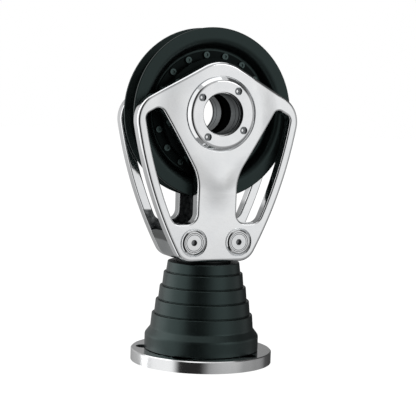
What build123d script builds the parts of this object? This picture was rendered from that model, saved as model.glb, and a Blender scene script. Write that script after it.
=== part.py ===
from build123d import *
import math
import os

# Stand-up block: a sheave between two cast side plates, which stand on a toggle inside a
# stepped rubber boot. Millimetres. The origin is the centre of the base's underside, +Z is up,
# +X runs to the right along the side plates and the front plate faces -Y.

# Rises of the two pins and of the side plates' foot, each above the one below
lower_pin_rise = 23.5
toggle_length = 28.0
foot_rise = 29.6

# Clearances
slip = 0.1
running = 0.06
pocket_play = 0.12
apart = 0.35
ring_gap = 0.3

# Base
base_radius = 63.0
base_thickness = 10.5
base_edge_chamfer = 0.8
deck_bolt_count = 5
deck_bolt_margin = 13.0
deck_bolt_phase = 11.5
deck_hole_radius = 4.3
deck_sink_radius = 8.6
deck_sink_depth = deck_sink_radius - deck_hole_radius

# Toggle
pin_radius = 6.0
pin_head_radius = 8.6
pin_head_thickness = 2.4
pin_tail = 4.0
eye_gap = 2.0
tongue_thickness = 14.0
ear_thickness = 8.0
ear_gap = 1.0
ear_root_spread = 4.0
waist_width = 13.0
clip_thickness = 1.2
clip_width = 3.2
clip_groove_depth = 0.9
clip_mouth = 5.0
clip_mouth_reach = 6.4

# Side plates, outline points counted from the axle
plate_gap = 29.7
plate_thickness = 12.0
apex_rise = 49.9
apex_radius = 34.0
shoulder_reach = 78.8
shoulder_rise = 6.5
shoulder_radius = 24.0
flank_radius = 375.0
foot_reach = 32.6
foot_drop = 129.4
foot_radius = 16.0
outer_edge_radius = 2.2
inner_edge_radius = 1.2

# Slots of the side plates
rim_band = 8.4
shoulder_band = 12.0
web_share = 0.565
web_angle = 58.6
stem_half_width = 18.8
slot_floor_rise = 33.6
stem_root_share = 0.97
slot_top_share = 0.16
slot_foot_share = 0.535

# Foot screws and their cups
foot_screw_reach = 21.4
foot_screw_rise = 17.2
foot_screw_radius = 4.0
foot_screw_grip = 12.0
foot_head_radius = 8.2
foot_head_rim = 0.4
foot_socket_flats = 5.0
foot_socket_depth = 3.2
cup_radius = 11.9
cup_depth = 5.0
cup_chamfer = 1.2

# Hub rings
hub_bore_radius = 17.5
hub_mouth_radius = 18.4
hub_mouth_depth = 1.6
hub_mouth_chamfer = 0.7
hub_flange_radius = 32.1
hub_face_radius = 28.0
hub_flange_height = 4.2
hub_flange_land = 0.5
hub_spigot_radius = 22.5
hub_spigot_reach = 9.0
hub_screw_count = 4
hub_screw_circle = 48.6
hub_screw_phase = 55.3
hub_screw_head_radius = 3.2
hub_screw_head_height = 1.8
hub_screw_sink = 2.6
hub_screw_radius = 1.5
hub_screw_grip = 7.0
hub_socket_flats = 2.5
hub_socket_depth = 1.2
sleeve_bore_radius = 19.6

# Roller bearing, whose shell carries every larger ring out to the sheave's rim
roller_shell_radius = 35.8
roller_radius = 3.5
roller_length = 12.0
roller_count = 24
roller_cage_wall = 3.6
roller_cage_half_width = 7.6
shoulder_offset = 0.4

# Side-load ball races
ball_circle_rise = 5.2
ball_radius = 2.5
ball_offset = 10.4
ball_count = 18
race_gap = 3.0
race_half_width = 13.2
ball_cage_wall = 1.8
ball_cage_back = 0.8
pocket_reach = 5.4
spacer_land_radius = 30.0

# Race rings and their screws
race_boss_wall = 4.0
race_skirt_wall = 1.6
race_flange_width = 6.5
race_flange_thickness = 1.6
race_screw_count = 18
race_screw_inset = 3.4
race_screw_phase = 16.8
race_screw_head_radius = 2.8
race_screw_head_height = 2.2
race_screw_radius = 1.6
race_screw_grip = 3.0
race_socket_flats = 2.5
race_socket_depth = 1.1

# Sheave
sheave_width = 26.0
web_half_width = 8.0
recess_half_width = 3.4
recess_gap = 2.3
dish_slope_width = 5.0
dish_brow_radius = 7.0
dish_root_radius = 2.5
groove_undercut = 1.0
groove_depth = 14.0
groove_radius = 9.0
rim_width = 2.4
rim_round = 0.8

# Crosshead
crosshead_top_rise = 29.4
crosshead_shoulder_rise = 23.4
crosshead_dome_radius = 7.0
neck_radius = 24.0
neck_height = 8.0

# Boot
boot_land = 12.1
boot_ring_height = 13.0
boot_flare_height = 6.2
boot_tier_count = 5
boot_top_cut = 2.8
boot_top_radius = 31.8
boot_tier_step = 3.25
boot_tier_taper = 1.3
boot_ledge_round = 0.8
boot_wall = 3.2
boot_lip_thickness = 3.6
boot_headroom = 2.4

# Derived places
lower_pin_height = base_thickness + lower_pin_rise
upper_pin_height = lower_pin_height + toggle_length
foot_height = upper_pin_height + foot_rise
axle_height = foot_height + foot_drop
axle = Pos(0, 0, axle_height)
plate_inner = plate_gap / 2
plate_outer = plate_inner + plate_thickness
eye_radius = toggle_length / 2 - eye_gap
ear_radius = toggle_length / 2 - ear_gap
slot_floor_drop = foot_drop - slot_floor_rise
foot_screw_drop = foot_drop - foot_screw_rise
crosshead_top_drop = foot_drop - crosshead_top_rise
crosshead_shoulder_drop = foot_drop - crosshead_shoulder_rise
fork_gap = tongue_thickness / 2 + ring_gap
ear_outer = fork_gap + ear_thickness
deck_bolt_circle = 2 * (base_radius - deck_bolt_margin)
web_radius = web_share * shoulder_reach
slot_top_radius = slot_top_share * (shoulder_reach - web_radius)
flank_slope = (shoulder_reach - foot_reach) / (foot_drop + shoulder_rise)
slot_floor_reach = foot_reach + slot_floor_rise * flank_slope - rim_band
slot_foot_radius = slot_foot_share * (slot_floor_reach - stem_half_width)
roller_circle_radius = roller_shell_radius + running + roller_radius
sheave_bore_radius = roller_circle_radius + roller_radius + running
ball_circle_radius = roller_shell_radius + ball_circle_rise
race_bore_radius = ball_circle_radius + race_gap / 2
race_seat_radius = race_bore_radius + race_boss_wall
race_skirt_radius = race_seat_radius + slip + race_skirt_wall
race_ring_radius = race_skirt_radius + race_flange_width
race_screw_circle = 2 * (race_ring_radius - race_screw_inset)
recess_radius = race_ring_radius + recess_gap
dish_radius = recess_radius + dish_slope_width
groove_floor_radius = dish_radius - groove_undercut
sheave_radius = groove_floor_radius + groove_depth
sheave_half_width = sheave_width / 2
boot_ring_radius = base_radius - boot_land
boot_floor = base_thickness + ring_gap
boot_flare_top = boot_floor + boot_ring_height + boot_flare_height
boot_roof = foot_height - boot_headroom
boot_tier_pitch = (boot_roof - boot_flare_top + boot_top_cut) / boot_tier_count
far = 300.0


def save(shape, node):
    """Write one node's solids to its own file."""
    shape.label = node
    export_step(shape, f"parts/{node}.step")


def revolved(points):
    """Turn a closed (radius, along) outline about the Y axis."""
    return revolve(make_face(Polyline(*points, close=True)), Axis.Y)


def cylinder_y(radius, near, end):
    """A cylinder along +Y from near to end."""
    return Pos(0, near, 0) * extrude(Plane.XZ * Circle(radius), -(end - near))


def ring_of(piece, count, circle, phase):
    """Copies of a piece set round the axle's line."""
    places = [phase + step * 360 / count for step in range(count)]
    return [Rot(0, -angle, 0) * Pos(circle / 2, 0, 0) * piece for angle in places]


def hexagon(flats, depth):
    """A hexagon socket's tool, sunk from y = 0 towards +Y."""
    corner_radius = flats / 2 / math.cos(math.pi / 6)
    return extrude(Plane.XZ * RegularPolygon(corner_radius, 6), -depth)


def half_line(start, angle):
    """A point far from start in the direction of angle."""
    turn = math.radians(angle)
    return (start[0] + far * math.cos(turn), start[1] + far * math.sin(turn))


def plate_blank():
    """The plate's outline with sharp corners: two slopes, two bowed flanks and a flat foot."""
    apex = (0, apex_rise)
    right = (shoulder_reach, shoulder_rise)
    left = (-shoulder_reach, shoulder_rise)
    foot_right = (foot_reach, -foot_drop)
    foot_left = (-foot_reach, -foot_drop)
    sides = [
        Line(apex, right),
        RadiusArc(right, foot_right, flank_radius),
        Line(foot_right, foot_left),
        RadiusArc(foot_left, left, flank_radius),
        Line(left, apex),
    ]
    return make_face(sides)


def plate_outline():
    """The plate's outline with its corners rounded."""
    outline = plate_blank()
    corners = outline.vertices().sort_by(Axis.Y)
    outline = fillet(corners[-1], apex_radius)
    corners = outline.vertices().sort_by(Axis.Y)
    outline = fillet(corners[:2], foot_radius)
    corners = outline.vertices().sort_by(Axis.X)
    return fillet([corners[0], corners[-1]], shoulder_radius)


def slot_face():
    """The right slot: the plate's inside, less the hub's web, the stem and the foot."""
    slope = math.atan2(apex_rise - shoulder_rise, shoulder_reach)
    roof = apex_rise - shoulder_band / math.cos(slope)
    roof_line = make_face(
        Polyline(
            (0, roof),
            (far, roof - far * math.tan(slope)),
            (far, -far),
            (0, -far),
            close=True,
        )
    )
    turn = math.radians(web_angle)
    tangent = (web_radius * math.sin(turn), -web_radius * math.cos(turn))
    root_drop = tangent[1] - (tangent[0] - stem_half_width) * math.tan(turn)
    root = (stem_half_width, root_drop)
    stem_root_radius = stem_root_share * (slot_floor_drop + root_drop)
    web = make_face(
        Polyline(
            (-far, far),
            half_line(tangent, web_angle),
            root,
            (stem_half_width, -far),
            (-far, -far),
            close=True,
        )
    )
    inner_corner = web.vertices().sort_by_distance(root)[0]
    web = fillet(inner_corner, stem_root_radius)
    foot = Pos(0, -slot_floor_drop - far / 2) * Rectangle(2 * far, far)
    inside = offset(plate_blank(), -rim_band, kind=Kind.INTERSECTION)
    slot = (inside & roof_line) - web - foot
    slot = slot.faces().sort_by(Axis.X)[-1]
    corners = slot.vertices().sort_by(Axis.Y)
    slot = fillet(corners[-2:], slot_top_radius)
    corners = slot.vertices().sort_by(Axis.Y)
    return fillet(corners[:2], slot_foot_radius)


def side_plate():
    """The front plate, a casting with rounded edges, a hub bore, two slots and two cup seats."""
    slot = slot_face()
    outline = plate_outline() - slot - mirror(slot, Plane.YZ)
    plate = Pos(0, -plate_inner, 0) * extrude(Plane.XZ * outline, plate_thickness)
    outer_edges = plate.faces().sort_by(Axis.Y)[0].edges()
    plate = fillet(outer_edges, outer_edge_radius)
    inner_edges = plate.faces().sort_by(Axis.Y)[-1].edges()
    plate = fillet(inner_edges, inner_edge_radius)
    plate -= cylinder_y(hub_spigot_radius + slip, -plate_outer, -plate_inner)
    tapped = cylinder_y(hub_screw_radius + slip, -plate_outer, -plate_outer + hub_screw_grip)
    plate -= ring_of(tapped, hub_screw_count, hub_screw_circle, hub_screw_phase)
    seat = cylinder_y(cup_radius + ring_gap, -plate_outer, -plate_outer + cup_depth)
    seat += cylinder_y(foot_screw_radius + slip, -plate_outer, -plate_inner)
    for side in (-1, 1):
        plate -= Pos(side * foot_screw_reach, 0, -foot_screw_drop) * seat
    return axle * plate


def foot_places():
    """The two places of the foot screws on one plate."""
    drop = axle_height - foot_screw_drop
    return [Pos(side * foot_screw_reach, 0, drop) for side in (-1, 1)]


def foot_cups():
    """Countersunk cups that sit flush in the front plate."""
    body = cylinder_y(cup_radius, -plate_outer, -plate_outer + cup_depth)
    body = chamfer(body.edges().sort_by(Axis.Y)[0], cup_chamfer)
    low = foot_screw_radius + slip
    high = foot_head_radius + slip
    cone = revolved([(0, 0), (high, 0), (high, foot_head_rim), (low, foot_head_rim + high - low),
                     (low, cup_depth), (0, cup_depth)])
    cup = body - Pos(0, -plate_outer, 0) * cone
    return Compound([place * cup for place in foot_places()])


def foot_screws():
    """Flat-head socket screws that hold the front plate to the crosshead."""
    cone_end = foot_head_rim + foot_head_radius - foot_screw_radius
    tip = plate_thickness + foot_screw_grip
    screw = revolved([(0, 0), (foot_head_radius, 0), (foot_head_radius, foot_head_rim),
                      (foot_screw_radius, cone_end), (foot_screw_radius, tip), (0, tip)])
    screw -= hexagon(foot_socket_flats, foot_socket_depth)
    return Compound([place * Pos(0, -plate_outer, 0) * screw for place in foot_places()])


def hub_ring():
    """The front hub ring: a bevelled flange on the plate and a spigot that carries the race."""
    face = plate_outer + hub_flange_height
    chamfer_radius = hub_mouth_radius + hub_mouth_chamfer
    ring = revolved([
        (hub_bore_radius, -hub_spigot_reach),
        (hub_bore_radius, -face + hub_mouth_depth),
        (hub_mouth_radius, -face + hub_mouth_depth),
        (hub_mouth_radius, -face + hub_mouth_chamfer),
        (chamfer_radius, -face),
        (hub_face_radius, -face),
        (hub_flange_radius, -plate_outer - hub_flange_land),
        (hub_flange_radius, -plate_outer),
        (hub_spigot_radius, -plate_outer),
        (hub_spigot_radius, -hub_spigot_reach),
    ])
    well = cylinder_y(hub_screw_head_radius + ring_gap, -face, -face + hub_screw_sink)
    well += cylinder_y(hub_screw_radius + slip, -face, -plate_outer)
    ring -= ring_of(well, hub_screw_count, hub_screw_circle, hub_screw_phase)
    return axle * ring


def socket_screw(head_radius, head_height, shank_radius, shank_length, flats, depth):
    """A socket-head screw along +Y with the underside of its head at y = 0."""
    screw = cylinder_y(head_radius, -head_height, 0)
    screw += cylinder_y(shank_radius, 0, shank_length)
    return screw - Pos(0, -head_height, 0) * hexagon(flats, depth)


def hub_screws():
    """The four screws of the front hub ring, their heads sunk in the flange."""
    seat = plate_outer + hub_flange_height - hub_screw_sink
    shank = hub_flange_height - hub_screw_sink + hub_screw_grip - apart
    screw = socket_screw(hub_screw_head_radius, hub_screw_head_height, hub_screw_radius, shank,
                         hub_socket_flats, hub_socket_depth)
    copies = ring_of(Pos(0, -seat, 0) * screw, hub_screw_count, hub_screw_circle, hub_screw_phase)
    return Compound([axle * copy for copy in copies])


def axle_sleeve():
    """The dark sleeve between the two spigots, a little wider than their bores."""
    end = hub_spigot_reach - slip
    tube = cylinder_y(hub_spigot_radius, -end, end) - cylinder_y(sleeve_bore_radius, -end, end)
    return axle * tube


def ball_torus():
    """The path of both ball sets, with running clearance."""
    ring = Torus(ball_circle_radius, ball_radius + running)
    ring = Rot(90, 0, 0) * ring
    return [Pos(0, side * ball_offset, 0) * ring for side in (-1, 1)]


def inner_race():
    """The fixed race: a roller track between two shoulders that carry the ball grooves."""
    track_end = roller_cage_half_width + shoulder_offset
    shoulder = ball_circle_radius - race_gap / 2
    bore = hub_spigot_radius + slip
    half = [
        (roller_shell_radius, track_end),
        (shoulder, track_end),
        (shoulder, race_half_width),
        (spacer_land_radius, race_half_width),
        (spacer_land_radius, plate_inner),
        (bore, plate_inner),
    ]
    points = half + [(radius, -along) for radius, along in reversed(half)]
    return axle * (revolved(points) - ball_torus())


def sheave():
    """The sheave: two flat flanges, a round groove, dished and recessed faces and a plain bore."""
    centre = groove_floor_radius + groove_radius
    half = [
        (sheave_bore_radius, web_half_width),
        (race_seat_radius, web_half_width),
        (race_seat_radius, recess_half_width),
        (recess_radius, recess_half_width),
        (dish_radius, sheave_half_width),
        (sheave_radius, sheave_half_width),
        (sheave_radius, sheave_half_width - rim_width),
        (centre, groove_radius),
        (centre, 0),
    ]
    points = half + [(radius, -along) for radius, along in reversed(half[:-1])]
    profile = make_face(Polyline(*points, close=True))
    brows = profile.vertices().filter_by(lambda corner: abs(corner.X - dish_radius) < slip)
    profile = fillet(brows, dish_brow_radius)
    roots = profile.vertices().filter_by(lambda corner: abs(corner.X - recess_radius) < slip)
    profile = fillet(roots, dish_root_radius)
    body = revolve(profile, Axis.Y)
    body -= Rot(90, 0, 0) * Torus(centre, groove_radius)
    rims = body.edges().filter_by(GeomType.CIRCLE).filter_by(
        lambda edge: edge.radius > sheave_radius - slip)
    body = fillet(rims, rim_round)
    hole = cylinder_y(race_screw_radius + slip, -recess_half_width,
                      -recess_half_width + race_screw_grip)
    holes = ring_of(hole, race_screw_count, race_screw_circle, race_screw_phase)
    body -= holes
    body -= [mirror(hole, Plane.XZ) for hole in holes]
    return axle * body


def race_ring():
    """The front race ring: a grooved boss for the balls, a skirt and a screwed flange."""
    flange = recess_half_width + race_flange_thickness
    ring = revolved([
        (race_bore_radius, -web_half_width),
        (race_bore_radius, -race_half_width),
        (race_skirt_radius, -race_half_width),
        (race_skirt_radius, -flange),
        (race_ring_radius, -flange),
        (race_ring_radius, -recess_half_width),
        (race_seat_radius + slip, -recess_half_width),
        (race_seat_radius + slip, -web_half_width),
    ])
    ring -= ball_torus()
    hole = cylinder_y(race_screw_radius + slip, -flange, -recess_half_width)
    ring -= ring_of(hole, race_screw_count, race_screw_circle, race_screw_phase)
    return axle * ring


def race_screws():
    """The ring of cap screws that hold the front race ring."""
    seat = recess_half_width + race_flange_thickness
    shank = race_flange_thickness + race_screw_grip - apart
    screw = socket_screw(race_screw_head_radius, race_screw_head_height, race_screw_radius, shank,
                         race_socket_flats, race_socket_depth)
    copies = ring_of(Pos(0, -seat, 0) * screw, race_screw_count, race_screw_circle,
                     race_screw_phase)
    return Compound([axle * copy for copy in copies])


def rollers():
    """The main bearing's rollers."""
    roller = cylinder_y(roller_radius, -roller_length / 2, roller_length / 2)
    copies = ring_of(roller, roller_count, 2 * roller_circle_radius, 0)
    return Compound([axle * copy for copy in copies])


def roller_cage():
    """The rollers' cage: a ring with one pocket for each roller."""
    outer = roller_circle_radius + roller_cage_wall / 2
    end = roller_cage_half_width
    cage = cylinder_y(outer, -end, end) - cylinder_y(outer - roller_cage_wall, -end, end)
    reach = roller_length / 2 + pocket_play
    pocket = cylinder_y(roller_radius + pocket_play, -reach, reach)
    cage -= ring_of(pocket, roller_count, 2 * roller_circle_radius, 0)
    return axle * cage


def ball_places():
    """The centres of the front ball set."""
    step = 360 / ball_count
    return [Rot(0, -index * step, 0) * Pos(ball_circle_radius, -ball_offset, 0)
            for index in range(ball_count)]


def balls():
    """The front set of side-load balls."""
    return Compound([axle * place * Sphere(ball_radius) for place in ball_places()])


def ball_cage():
    """The front ball cage: a thin crown whose pockets open towards the rollers."""
    outer = ball_circle_radius + ball_cage_wall / 2
    pocket_radius = ball_radius + pocket_play
    near = -ball_offset - pocket_radius - ball_cage_back
    cage = cylinder_y(outer, near, -ball_offset)
    cage -= cylinder_y(outer - ball_cage_wall, near, -ball_offset)
    pocket = Rot(0, 90, 0) * Cylinder(pocket_radius, pocket_reach)
    cage -= [place * pocket for place in ball_places()]
    return axle * cage


def base_plate():
    """The round base with countersunk deck holes and the two ears of the lower pin."""
    disc = extrude(Circle(base_radius), base_thickness)
    disc = chamfer(disc.edges().sort_by(Axis.Z)[-1], base_edge_chamfer)
    hole = extrude(Circle(deck_hole_radius), base_thickness)
    hole += Pos(0, 0, base_thickness - deck_sink_depth / 2) * Cone(
        deck_hole_radius, deck_sink_radius, deck_sink_depth)
    disc -= PolarLocations(deck_bolt_circle / 2, deck_bolt_count, deck_bolt_phase) * hole
    ear_rise = lower_pin_height - base_thickness
    profile = Circle(ear_radius) + make_face(
        Polyline(
            (-ear_radius, 0),
            (ear_radius, 0),
            (ear_radius + ear_root_spread, -ear_rise),
            (-ear_radius - ear_root_spread, -ear_rise),
            close=True,
        )
    )
    ear = extrude(Plane.YZ * profile, ear_thickness)
    ear -= extrude(Plane.YZ * Circle(pin_radius + slip), ear_thickness)
    for inner in (fork_gap, -ear_outer):
        disc += Pos(inner, 0, lower_pin_height) * ear
    return disc


def toggle_link():
    """The toggle: a lower eye across X and an upper eye across Y, joined by a waist."""
    half = tongue_thickness / 2
    lower = Pos(-half, 0, lower_pin_height) * extrude(
        Plane.YZ * Circle(eye_radius), tongue_thickness)
    upper = Pos(0, 0, upper_pin_height) * cylinder_y(eye_radius, -half, half)
    span = upper_pin_height - lower_pin_height
    middle = (upper_pin_height + lower_pin_height) / 2
    waist = Pos(0, 0, middle) * Box(waist_width, waist_width, span)
    link = lower + upper + waist
    link -= Pos(-half, 0, lower_pin_height) * extrude(
        Plane.YZ * Circle(pin_radius + running), tongue_thickness)
    link -= Pos(0, 0, upper_pin_height) * cylinder_y(pin_radius + running, -half, half)
    return link


def headed_pin():
    """A clevis pin along +Y: a head, a shank and a groove for its clip."""
    end = ear_outer + pin_tail
    groove = ear_outer + ring_gap
    floor = pin_radius - clip_groove_depth
    return revolved([
        (0, -ear_outer - pin_head_thickness),
        (pin_head_radius, -ear_outer - pin_head_thickness),
        (pin_head_radius, -ear_outer),
        (pin_radius, -ear_outer),
        (pin_radius, groove),
        (floor, groove),
        (floor, groove + clip_thickness + slip),
        (pin_radius, groove + clip_thickness + slip),
        (pin_radius, end),
        (0, end),
    ])


def pin_clip():
    """The open spring clip that sits in the pin's groove."""
    inner = pin_radius - clip_groove_depth + slip
    ring = Circle(inner + clip_width) - Circle(inner)
    mouth = Pos(0, inner + clip_width / 2) * Rectangle(clip_mouth, clip_mouth_reach)
    clip = extrude(Plane.XZ * (ring - mouth), -clip_thickness)
    return Pos(0, ear_outer + ring_gap + slip / 2, 0) * clip


def crosshead():
    """The crosshead: a block between the plates, a round neck and the fork of the upper pin."""
    top = -crosshead_top_drop
    block = plate_outline() & Pos(0, top - far / 2) * Rectangle(2 * far, far)
    shoulder = plate_outline() & Pos(0, -crosshead_shoulder_drop - far / 2) * Rectangle(
        2 * far, far)
    ends = shoulder.bounding_box().size.X / 2
    dome = Pos(0, (top - foot_drop) / 2) * RectangleRounded(
        2 * ends, foot_drop - crosshead_top_drop, crosshead_dome_radius)
    profile = block & (dome + shoulder)
    body = Pos(0, plate_inner, 0) * extrude(Plane.XZ * profile, plate_gap)
    body = axle * body
    tapped = cylinder_y(foot_screw_radius + slip, -plate_inner, -plate_inner + foot_screw_grip
                        + apart)
    for place in foot_places():
        body -= place * tapped
        body -= place * mirror(tapped, Plane.XZ)
    neck_floor = foot_height - neck_height
    neck = extrude(Circle(neck_radius), neck_height - ring_gap)
    neck += extrude(Circle(neck_radius) & Rectangle(2 * neck_radius, plate_gap), neck_height)
    body += Pos(0, 0, neck_floor) * neck
    ear = Pos(0, 0, upper_pin_height) * cylinder_y(ear_radius, fork_gap, ear_outer)
    shaft = Pos(0, (fork_gap + ear_outer) / 2, upper_pin_height) * Box(
        2 * ear_radius, ear_thickness, neck_floor - upper_pin_height,
        align=(Align.CENTER, Align.CENTER, Align.MIN))
    ear += shaft
    ear -= Pos(0, 0, upper_pin_height) * cylinder_y(pin_radius + slip, fork_gap, ear_outer)
    body += ear
    body += mirror(ear, Plane.XZ)
    return body


def boot():
    """The rubber boot: a stepped cone of tapered tiers, a flare and a straight foot ring."""
    ring_top = boot_floor + boot_ring_height
    outline = [(boot_ring_radius, boot_floor), (boot_ring_radius, ring_top)]
    for tier in reversed(range(boot_tier_count)):
        radius = boot_top_radius + tier * boot_tier_step
        floor = boot_flare_top + (boot_tier_count - 1 - tier) * boot_tier_pitch
        roof = min(floor + boot_tier_pitch, boot_roof)
        outline.append((radius + boot_tier_taper, floor))
        outline.append((radius + boot_ledge_round / 2, roof - boot_ledge_round))
        outline.append((radius - boot_ledge_round / 2, roof))
    mouth = neck_radius + ring_gap
    under_lip = boot_roof - boot_lip_thickness
    outline += [
        (mouth, boot_roof),
        (mouth, under_lip),
        (boot_top_radius - boot_wall, under_lip),
        (outline[2][0] - boot_wall, boot_flare_top),
        (boot_ring_radius - boot_wall, ring_top),
        (boot_ring_radius - boot_wall, boot_floor),
    ]
    return revolve(Plane.XZ * make_face(Polyline(*outline, close=True)), Axis.Z)


def front_and_rear(shape, name):
    """Write a front piece and its mirror image at the back."""
    save(shape, f"front_{name}")
    save(mirror(shape, Plane.XZ), f"rear_{name}")


os.makedirs("parts", exist_ok=True)
save(base_plate(), "base_plate")
save(boot(), "boot")
save(Pos(0, 0, lower_pin_height) * Rot(0, 0, -90) * headed_pin(), "lower_toggle_pin")
save(Pos(0, 0, lower_pin_height) * Rot(0, 0, -90) * pin_clip(), "lower_pin_clip")
save(toggle_link(), "toggle_link")
save(Pos(0, 0, upper_pin_height) * headed_pin(), "upper_toggle_pin")
save(Pos(0, 0, upper_pin_height) * pin_clip(), "upper_pin_clip")
save(crosshead(), "crosshead")
front_and_rear(side_plate(), "side_plate")
front_and_rear(foot_cups(), "screw_cups")
front_and_rear(foot_screws(), "foot_screws")
front_and_rear(hub_ring(), "hub_ring")
front_and_rear(hub_screws(), "hub_screws")
save(axle_sleeve(), "axle_sleeve")
save(inner_race(), "inner_race")
save(sheave(), "sheave")
front_and_rear(race_ring(), "race_ring")
front_and_rear(race_screws(), "race_screws")
save(rollers(), "rollers")
save(roller_cage(), "roller_cage")
front_and_rear(balls(), "balls")
front_and_rear(ball_cage(), "ball_cage")
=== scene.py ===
import math

import bmesh
import bpy
import numpy as np
from mathutils import Matrix
from mathutils.geometry import delaunay_2d_cdt


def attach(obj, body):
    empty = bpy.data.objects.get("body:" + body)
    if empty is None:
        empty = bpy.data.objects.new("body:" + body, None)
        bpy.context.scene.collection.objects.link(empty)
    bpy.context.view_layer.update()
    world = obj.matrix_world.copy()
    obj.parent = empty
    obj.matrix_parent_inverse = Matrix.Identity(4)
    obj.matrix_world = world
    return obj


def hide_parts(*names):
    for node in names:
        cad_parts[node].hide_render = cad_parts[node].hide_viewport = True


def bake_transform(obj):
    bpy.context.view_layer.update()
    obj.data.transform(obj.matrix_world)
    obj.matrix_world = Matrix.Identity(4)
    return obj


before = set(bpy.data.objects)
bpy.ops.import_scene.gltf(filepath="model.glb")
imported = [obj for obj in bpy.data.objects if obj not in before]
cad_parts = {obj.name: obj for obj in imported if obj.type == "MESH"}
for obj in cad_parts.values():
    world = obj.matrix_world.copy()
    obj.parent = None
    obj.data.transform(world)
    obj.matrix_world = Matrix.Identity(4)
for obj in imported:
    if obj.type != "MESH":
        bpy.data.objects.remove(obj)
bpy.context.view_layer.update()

# The photograph's camera, fitted to the sheave, plates, screws and base
CAMERA_PLACE = (-0.4867, -1.0775, 0.2434)
CAMERA_HEADING = 24.43
CAMERA_PITCH = 5.157
CAMERA_ROLL = 1.80
CAMERA_LENS = 115.4
CAMERA_SENSOR = 36.0

# The axle's middle, in metres
AXLE = np.array([0.0, 0.0, 0.221])

# The side plate, counted from the axle, as in the solid
PLATE_INNER = 0.01485
PLATE_OUTER = 0.02685
APEX = 0.0499
APEX_RADIUS = 0.034
SHOULDER = (0.0788, 0.0065)
SHOULDER_RADIUS = 0.024
FOOT = (0.0326, -0.1294)
FOOT_RADIUS = 0.016
FLANK_RADIUS = 0.375
RIM_BAND = 0.0084
SHOULDER_BAND = 0.012
WEB_RADIUS = 0.04452
WEB_ANGLE = math.radians(58.6)
STEM = 0.0188
SLOT_FLOOR = -0.0958
SLOT_TOP_RADIUS = 0.00549
SLOT_FOOT_RADIUS = 0.00897
SLOT_ROOT_RADIUS = 0.0399
OUTER_FILLET = 0.0027
SLOT_FILLET = 0.002
INNER_FILLET = 0.0012

PLATE_THICK = PLATE_OUTER - PLATE_INNER

# The soft relief of the plates' outer faces
PAD_INNER = 0.033
PAD_OUTER = 0.061
PAD_LOWER = 0.88
PAD_HEIGHT = 0.0023
PLATE_SINK = 0.0009
SWELL_HEIGHT = 0.0017
SWELL_WIDTH = 0.0135
SWELL_LENGTH = 0.016
SWELL_PLACE = -0.06

# The plates' meshes: the longest stretch of an edge and of an arc, the points round the hub's
# groove and a cup, the pitch of the even grid, the share of it between rows, the share that it
# keeps clear of edges, and how far beside a rounding its support points lie
EDGE_GAP = 0.0015
ARC_GAP = 0.0008
GROOVE_STEPS = 240
CIRCLE_STEPS = 96
SHEET_GAP = 0.002
ROW_SHARE = 0.87
CLEAR_SHARE = 0.6
SUPPORT = 0.0004
WIDE_SUPPORT = 0.0007

# The points round a lathe surface, round a hub ring and round a cup, the steps of their arcs, and
# the share of a rounding at which its support points lie
LATHE_STEPS = 256
HUB_STEPS = 320
CUP_STEPS = 128
ARC_STEPS = 6
FINE_ARC_STEPS = 8
SUPPORT_SHARE = 0.15

# The foot screws with their cups
FOOT_SCREW = (0.0214, -0.1122)
CUP_SEAT_RADIUS = 0.0123
SCREW_HOLE_RADIUS = 0.0041
CUP_DEPTH = 0.005
CUP_SEAT_EDGE = 0.0004

# The cup's outline: (radius, rise above the plate's outer plane, rounding)
CUP_OUTLINE = [
    (0.0086, 0.0004, 0.0003), (0.0094, 0.0004, 0.0005), (0.0109, -0.0005, 0.0007),
    (0.0119, -0.0018, 0.0002), (0.0122, -0.0018, 0), (0.0122, -CUP_DEPTH, 0),
    (SCREW_HOLE_RADIUS, -CUP_DEPTH, 0), (SCREW_HOLE_RADIUS, -0.0046, 0), (0.0086, -0.0006, 0),
]

# The hub rings: radii, where the spigot ends, the grooves in the bore as (far end, near end)
# below the face, and the screw wells
HUB_SEAT_RADIUS = 0.0226
HUB_GROOVE_RADIUS = 0.0326
HUB_GROOVE_DEPTH = PAD_HEIGHT + 0.0006
HUB_RADIUS = 0.032
HUB_BROW_RADIUS = 0.0291
HUB_BROW = 0.0034
HUB_SPIGOT_RADIUS = 0.0225
HUB_SPIGOT_END = 0.0105
HUB_MOUTH_RADIUS = 0.0189
HUB_MOUTH_DEPTH = 0.0028
HUB_BORE_RADIUS = 0.0175
HUB_LINE_RADIUS = 0.0181
HUB_LINES = ((0.0124, 0.0118), (0.0062, 0.0046))
HUB_HEIGHT = 0.0053
HUB_SCREWS = 4
HUB_SCREW_CIRCLE = 0.0243
HUB_SCREW_PHASE = 55.3
WELL_RADIUS = 0.0035
WELL_LENGTH = 0.0034
WELL_SINK = 0.001
WELL_STEPS = 48

# How far an edge is rounded where it is nearly sharp, broken or eased
SHARP_EDGE = 0.0001
BROKEN_EDGE = 0.0002
EASED_EDGE = 0.0003

# The least doubled area of a triangle, the distances within which points are one in a mesh and
# in a sheet, and the angles in degrees from which an edge of a surface, or of a hub ring with its
# wells, shades as sharp
SLIVER = 2e-11
SAME = 0.000002
SHEET_SAME = 1e-9
SHARP = 40.0
WELL_SHARP = 30.0

# The sides with the way that each faces along Y
SIDES = (("front", -1.0), ("rear", 1.0))

# The base, as in the solid
BASE_RADIUS = 0.063
BASE_THICK = 0.0105

# The boot, as in the solid
BOOT_FLOOR = 0.0108
BOOT_RING_RADIUS = 0.0509
BOOT_RING_HEIGHT = 0.013
BOOT_FLARE_HEIGHT = 0.0062
BOOT_TIERS = 5
BOOT_PITCH = 0.0124
BOOT_TOP_RADIUS = 0.0318
BOOT_STEP = 0.00325
BOOT_TAPER = 0.0013
BOOT_WALL = 0.0032
BOOT_MOUTH = 0.0243
BOOT_ROOF = 0.0892
BOOT_SPLIT = 0.0481
BOOT_GROOVE = 0.0007
BOOT_LIP = 0.0036

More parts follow.
